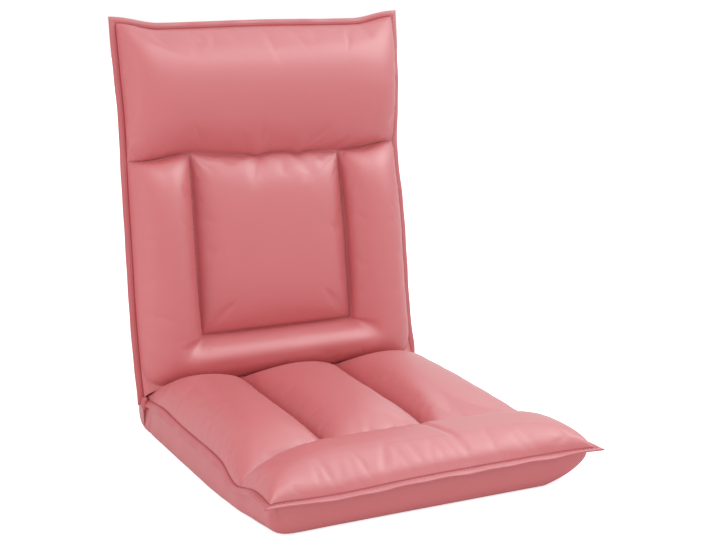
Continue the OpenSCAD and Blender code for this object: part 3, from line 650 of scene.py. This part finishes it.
def seat_cushions():
    side_n, mid_n, channel_n, bolster_n = count(46), count(52), count(120), count(64)
    grid = grid_of(seat_points, across(CHANNEL_SHARE, side_n, mid_n), along([channel_n, bolster_n]))
    seams = [(side_n, 0, channel_n), (side_n + mid_n, 0, channel_n)]
    held = pinned_lines(grid.shape[:2], [0, channel_n, -1], seams)
    grid = swollen("seat_sheet", grid, held, SWELL_CAP)
    # The top cover gets painted shade along its sewn lines
    top = closed_form("seat_top_cushion", grid, in_hung_seat, painted_shade_mask(grid, [channel_n], seams))
    return top, under_cushion("seat_base_cushion", seat_under_points, 110, in_hung_seat)


def back_cushions():
    side_n, mid_n, lower_n, panel_n, head_n = count(40), count(66), count(30), count(84), count(64)
    grid = grid_of(back_points, across(PANEL_SHARE, side_n, mid_n), along([lower_n, panel_n, head_n]))
    top_row = lower_n + panel_n
    seams = [(side_n, lower_n, top_row), (side_n + mid_n, lower_n, top_row)]
    panel_cols = slice(side_n, side_n + mid_n + 1)
    held = pinned_lines(grid.shape[:2], [0, top_row, -1], seams)
    held[lower_n, panel_cols] = True
    calm = bump(grid[:, :, 1:2], LOWER_LEN, CALM_REACH)
    grid = swollen("back_sheet", grid, held, SWELL_CAP - CALM_CUT * calm)
    # Painted shade along the head seam, the lengthwise seams and the panel's lower seam
    seam = painted_shade_mask(grid, [top_row], seams)
    low = np.zeros(grid.shape[:2])
    low[:, panel_cols] = np.exp(-np.abs(grid[:, panel_cols, 1] - LOWER_LEN) / PAINTED_SHADE_REACH)
    front = closed_form("back_front_cushion", grid, in_back, np.maximum(seam, low))
    return front, under_cushion("back_rear_cushion", back_under_points, 120, in_back)


# Sewn edges
FLANGE_W, FLANGE_T = 0.011, 0.003
STITCH_STEP, STITCH_LEN, THREAD_R = 0.0055, 0.0038, 0.00045
EDGE_STEPS = 160
EDGE_PROFILE = [(-0.002, -0.4), (0.3, -0.5), (0.9, -0.5), (1.0, -0.3), (1.0, 0.3), (0.9, 0.5), (0.3, 0.5),
                (-0.002, 0.4)]  # shares of the edge's width and thickness
EDGE_TILT = 0.25  # about its thickness over its width
EDGE_WAVE, EDGE_SWAY = 0.0006, 0.0005
SEAT_EDGE_START, BACK_EDGE_START = 0.009, -0.008
SIDE_WIDER = 0.3  # the seat's side edges are wider than its front edge by this share
FOLD_NARROW = 0.55  # the back's right edge is narrower at the fold by this share
SIDE_DROOP, FRONT_DROOP = math.radians(57), math.radians(20)
DROOP_WAVE, DROOP_SWAY = 5, 3  # degrees


def edge_line(side, end, start, steps):
    """Places and outward ways of an edge: up the left side, along the end, down the right side."""
    return np.array([side(-1, t) for t in np.linspace(start, 1, steps)]
                    + [end(f) for f in np.linspace(-1, 1, steps)][1:-1]
                    + [side(1, t) for t in np.linspace(1, start, steps)])


def run_along(line):
    return np.concatenate([[0], np.cumsum(np.linalg.norm(np.diff(line[:, :2], axis=0), axis=1))])


def flange(name, side, end, place, droop):
    """Flat double sewn edge with slow waves."""
    line = edge_line(side, end, 0, EDGE_STEPS)
    run = run_along(line)
    wave = EDGE_WAVE * np.sin(run * 95) + EDGE_SWAY * np.sin(run * 41 + 1.3)
    n, m = len(line), len(EDGE_PROFILE)
    points, uv = [], []
    for k in range(n):
        inner, outward = line[k, :2], line[k, 2:4]
        for out, height in EDGE_PROFILE:
            turn = droop(inner) * min(1, max(0, out) * 2.5)
            flat = inner + outward * (out * math.cos(turn)) + outward * EDGE_TILT * height * math.sin(turn)
            rise = height * FLANGE_T * math.cos(turn) - FLANGE_W * out * math.sin(turn)
            points.append([flat[0], flat[1], rise + wave[k] * max(out, 0)])
            uv.append([run[k], out * FLANGE_W])
    faces = [(k * m + j, (k + 1) * m + j, (k + 1) * m + (j + 1) % m, k * m + (j + 1) % m)
             for k in range(n - 1) for j in range(m)]
    faces += [tuple(range(m)), tuple((n - 1) * m + j for j in range(m - 1, -1, -1))]
    return make_object(name, place(np.array(points)), faces, uv, np.zeros(n * m))


def corner_out(t):
    """The edge's outward way turns to the end near its corner."""
    return FLANGE_W * smooth((t - 0.9) / 0.1)


def seat_side(way, t):
    y = SEAT_EDGE_START + t * (SEAT_LEN - SEAT_EDGE_START)
    width = FLANGE_W * (1 + SIDE_WIDER - SIDE_WIDER * smooth((t - 0.7) / 0.3))
    return [way * seat_half_w(y), y, way * width, corner_out(t)]


def back_side(way, t):
    y = BACK_EDGE_START + t * (BACK_LEN - BACK_EDGE_START)
    width = FLANGE_W * (1 - FOLD_NARROW * (way > 0) * (1 - smooth(t / 0.08)))
    return [way * back_half_w(y, np.array(float(way))), y, way * width, corner_out(t)]


def seat_end(f):
    return [f * HALF_W, seat_front(f), FLANGE_W * np.sign(f) * np.abs(f) ** 12, FLANGE_W]


def back_end(f):
    return [f * HALF_W, back_top(f), FLANGE_W * np.sign(f) * np.abs(f) ** 12, FLANGE_W]


def seat_droop(at):
    """The side edges hang down along the base in slow waves; near the corners they turn up level."""
    waves = math.radians(DROOP_WAVE * math.sin(at[1] / 0.019 + at[0])
                         + DROOP_SWAY * math.sin(at[1] / 0.0083 + 1))
    side = (SIDE_DROOP + waves) * float(smooth((SEAT_LEN - at[1] - 0.02) / 0.09))
    front = FRONT_DROOP * float(smooth((HALF_W - abs(at[0]) - 0.01) / 0.07))
    return max(side, front)


def no_droop(at):
    return 0.0


TAB_RINGS, TAB_SIDES = 10, 14
TAB_X, TAB_Y, TAB_Z = 0.0012, 0.008, 0.007  # middle of a tab's upper end, beside the seat's seam
TAB_THICK, TAB_WIDE, TAB_DROP, TAB_LEAN = 0.0056, 0.0082, 0.023, 0.003
TAB_GIRTH, TAB_LEN, TAB_PAINTED_SHADE = 0.025, 0.014, 0.8  # for the leather's pattern, and the painted shade that darkens the tabs all over


def fold_tabs():
    """The seat edge's two ends, rolled into short tabs beside the fold."""
    rings, sides = TAB_RINGS, TAB_SIDES
    points, faces, uv = [], [], []
    for way in (-1, 1):
        base = len(points)
        for k in range(rings + 1):
            t = k / rings
            swell = math.sqrt(max(0.0, 1 - (2 * t - 1) ** 4)) + 0.02
            for j in range(sides):
                a = 2 * math.pi * j / sides
                points.append([way * (HALF_W + TAB_X + TAB_THICK * swell * math.cos(a)),
                               TAB_Y + TAB_WIDE * swell * math.sin(a) - TAB_LEAN * t, TAB_Z - TAB_DROP * t])
                uv.append([j / sides * TAB_GIRTH, t * TAB_LEN])
        for k in range(rings):
            for j in range(sides):
                a, b = base + k * sides + j, base + k * sides + (j + 1) % sides
                faces.append((a, b, b + sides, a + sides) if way < 0 else (b, a, a + sides, b + sides))
        first = tuple(range(base, base + sides))
        last = tuple(range(base + rings * sides, base + (rings + 1) * sides))
        faces += [first[::-1], last] if way < 0 else [first, last[::-1]]
    # Painted shade: the tabs are darkened all over through the seam attribute
    shade = np.full(len(points), TAB_PAINTED_SHADE)
    return make_object("fold_edge_tabs", in_seat(np.array(points)), faces, uv, shade)


STITCH_OUT = 0.42  # where the row lies, as a share of the edge's width
STITCH_PROFILE = [(0, 0.35), (0.25, 1.0), (0.75, 1.0), (1, 0.35)]  # shares of a stitch's length and thickness
STITCH_SIDES, LINE_STEPS, LINE_START, THREAD_LIFT = 6, 700, 0.02, 0.0001
ROW_START, ROW_END = 0.006, 0.008


def stitches(name, side, end, place, droop):
    """A row of thread stitches on both faces of a sewn edge."""
    line = edge_line(side, end, LINE_START, LINE_STEPS)
    run = run_along(line)
    sides, rings = STITCH_SIDES, len(STITCH_PROFILE)
    points, faces, uv = [], [], []
    for start in np.arange(ROW_START, run[-1] - ROW_END, STITCH_STEP):
        first, last = [np.array([np.interp(at, run, line[:, c]) for c in range(4)])
                       for at in (start, start + STITCH_LEN)]
        ahead = last[:2] - first[:2]
        ahead = ahead / max(1e-9, float(np.linalg.norm(ahead)))
        for face in (1, -1):
            base = len(points)
            for share, swell in STITCH_PROFILE:
                at = first * (1 - share) + last * share
                turn = droop(at)
                level = STITCH_OUT * math.cos(turn)
                centre = [at[0] + at[2] * level, at[1] + at[3] * level,
                          face * (FLANGE_T / 2 + THREAD_LIFT) - FLANGE_W * STITCH_OUT * math.sin(turn)]
                for j in range(sides):
                    a = 2 * math.pi * j / sides
                    aside = THREAD_R * swell * math.cos(a)
                    points.append([centre[0] - ahead[1] * aside, centre[1] + ahead[0] * aside,
                                   centre[2] + THREAD_R * swell * math.sin(a)])
                    uv.append([start + share * STITCH_LEN, j * 0.0002])
            for k in range(rings - 1):
                for j in range(sides):
                    a, b = base + k * sides + j, base + k * sides + (j + 1) % sides
                    faces.append((a, b, b + sides, a + sides))
            faces += [tuple(range(base + sides - 1, base - 1, -1)),
                      tuple(range(base + (rings - 1) * sides, base + rings * sides))]
    return make_object(name, place(np.array(points)), faces, uv, np.zeros(len(points)))


HEEL_ROWS = 28


def gusset():
    """The cover material round the heel, between the seat's base and the back's rear."""
    f, t = np.meshgrid(both_ends(-1, 1, count(90)), np.linspace(0, 1, HEEL_ROWS), indexing="xy")
    depth = PLANE_Z + (REAR_DEPTH - PLANE_Z) * t
    angle = t * REST_FOLD
    share = seat_share(f, 0 * f) * (1 - t) + rear_share(f, 0 * f) * t
    radius = RIM + (depth - RIM + HEEL_CORNER * np.sin(np.pi * t) ** 2) * share
    half = HALF_W + HEEL_SIDE * (1 - smooth(t)) * share
    grid = np.stack([f * half, FOLD_Y + radius * np.sin(angle), PLANE_Z - radius * np.cos(angle)], -1)
    rows, cols = grid.shape[:2]
    core = grid[0].copy()
    core[:, 1:] = FOLD_Y, PLANE_Z
    points = np.concatenate([grid.reshape(-1, 3), core])
    faces = [tuple(q) for q in grid_faces(rows, cols)]
    base = rows * cols
    for c in range(cols - 1):
        faces.append((base + c, base + c + 1, c + 1, c))
        a = (rows - 1) * cols + c
        faces.append((a, a + 1, base + c + 1, base + c))
    for r in range(rows - 1):
        faces.append((base, r * cols, (r + 1) * cols))
        faces.append((base + cols - 1, (r + 2) * cols - 1, (r + 1) * cols - 1))
    uv = np.stack([points[:, 0], np.concatenate([(angle * PLANE_Z).ravel(), np.zeros(cols)])], -1)
    return make_object("fold_heel", points, faces, uv, np.zeros(len(points)))


seat_top, seat_base = seat_cushions()
back_front, back_rear = back_cushions()
seat_edge = flange("seat_sewn_edge", seat_side, seat_end, in_hung_seat, seat_droop)
back_edge = flange("back_sewn_edge", back_side, back_end, in_back, no_droop)
seat_thread = stitches("seat_edge_stitches", seat_side, seat_end, in_hung_seat, seat_droop)
back_thread = stitches("back_edge_stitches", back_side, back_end, in_back, no_droop)
tabs = fold_tabs()
heel = gusset()

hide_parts("seat_top_cover", "seat_channel_pad_left", "seat_channel_pad_centre",
            "seat_channel_pad_right", "seat_front_bolster_pad")
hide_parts("seat_base_cover", "seat_foam_core")
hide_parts("back_front_cover", "head_pillow_pad", "back_centre_pad", "back_side_pad_left",
            "back_side_pad_right", "back_lower_pad")
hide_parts("back_rear_cover", "back_foam_core")
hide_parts("seat_edge_flange")
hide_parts("back_edge_flange")
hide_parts("fold_gusset")

# Finishes for all pieces; the heel piece built above turns the covers smoothly across the fold, along the
# line between both halves at rest
FINISHES = {seat_edge: EDGE, back_edge: EDGE, tabs: EDGE, seat_thread: THREAD, back_thread: THREAD}
for piece in (seat_top, seat_base, back_front, back_rear, seat_edge, back_edge, heel,
              seat_thread, back_thread, tabs):
    piece.data.materials.append(FINISHES.get(piece, LEATHER))
    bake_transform(piece)

# The frame and the hinges inside keep their CAD meshes
for name, obj in frame["nodes"].items():
    finish = STEEL if "frame_tube" in name or "cross_tubes" in name else ZINC
    if obj.type == "MESH":
        if not obj.material_slots:
            obj.data.materials.append(finish)
        for slot in obj.material_slots:
            slot.material = finish


# Stage and light
PAPER, PAPER_GLOW = 0.88, 0.75
ROOM_BRIGHT, ROOM_DIM = 0.85, 0.58
DIM_WAY = (-0.85, 0.49, 0.17)  # the room is dimmer behind the chair's left side
LAMP_DISTANCE, LAMP_AIM = 2.6, (0, 0, 0.25)
LAMPS = (("right_softbox", 68, 40, 1.7, 8, 74), ("front_softbox", 12, 60, 1.8, 3, 58),
         ("top_softbox", 60, 76, 1.8, 2.2, 32), ("rear_softbox", 125, 42, 1.8, 3.5, 46),
         ("left_fill", -80, 10, 1.8, 14, 6))  # azimuth, elevation, size, power of the light and of the sheen


def make_stage():
    """Pale paper that glows a little to the camera, so that only the object's shadow shows on it."""
    material, tree, shader = new_material("floor_paper")
    set_inputs(shader, Base_Color=(PAPER, PAPER, PAPER, 1), Roughness=0.9, Specular_IOR_Level=0.0,
               Emission_Color=(1, 1, 1, 1))
    path = node(tree, "ShaderNodeLightPath")
    lift = node(tree, "ShaderNodeMath", operation="MULTIPLY")
    lift.inputs[1].default_value = PAPER_GLOW
    tree.links.new(path.outputs["Is Camera Ray"], lift.inputs[0])
    tree.links.new(lift.outputs["Value"], shader.inputs["Emission Strength"])
    bpy.ops.mesh.primitive_plane_add(size=40, location=(0, 0, -0.0005))
    floor = bpy.context.object
    floor.name = "floor"
    floor.data.materials.append(material)


def make_softbox(name, azimuth, elevation, size, power, sheen):
    """One lamp for a softbox's even light, and one at the same place for its sheen on the leather."""
    a, e = math.radians(azimuth), math.radians(elevation)
    away = Vector((math.sin(a) * math.cos(e), -math.cos(a) * math.cos(e), math.sin(e)))
    place = Vector(LAMP_AIM) + away * LAMP_DISTANCE
    for part, energy in (("light", power), ("sheen", sheen)):
        data = bpy.data.lights.new(name + "_" + part, "AREA")
        data.shape = "RECTANGLE"
        data.size = data.size_y = size
        data.energy = energy
        lamp = bpy.data.objects.new(name + "_" + part, data)
        lamp.location = place
        lamp.rotation_euler = (Vector(LAMP_AIM) - place).to_track_quat("-Z", "Y").to_euler()
        lamp.visible_glossy = part == "sheen"
        lamp.visible_diffuse = part == "light"
        bpy.context.scene.collection.objects.link(lamp)


def make_light():
    """A white room, which shows full white to the camera, and the softboxes."""
    world = bpy.data.worlds.new("studio")
    bpy.context.scene.world = world
    world.use_nodes = True
    tree = world.node_tree
    background = tree.nodes["Background"]
    path = node(tree, "ShaderNodeLightPath")
    place = node(tree, "ShaderNodeTexCoord")
    facing = node(tree, "ShaderNodeVectorMath", operation="DOT_PRODUCT")
    tree.links.new(place.outputs["Generated"], facing.inputs[0])
    facing.inputs[1].default_value = DIM_WAY
    room = node(tree, "ShaderNodeMapRange", From_Min=0.35, From_Max=1.0, To_Min=ROOM_BRIGHT, To_Max=ROOM_DIM)
    tree.links.new(facing.outputs["Value"], room.inputs["Value"])
    shown = node(tree, "ShaderNodeMath", operation="MAXIMUM")
    tree.links.new(path.outputs["Is Camera Ray"], shown.inputs[0])
    tree.links.new(room.outputs["Result"], shown.inputs[1])
    background.inputs["Color"].default_value = (1, 1, 1, 1)
    tree.links.new(shown.outputs["Value"], background.inputs["Strength"])
    for lamp in LAMPS:
        make_softbox(*lamp)


make_stage()
make_light()
bpy.context.scene.view_settings.view_transform = "Standard"
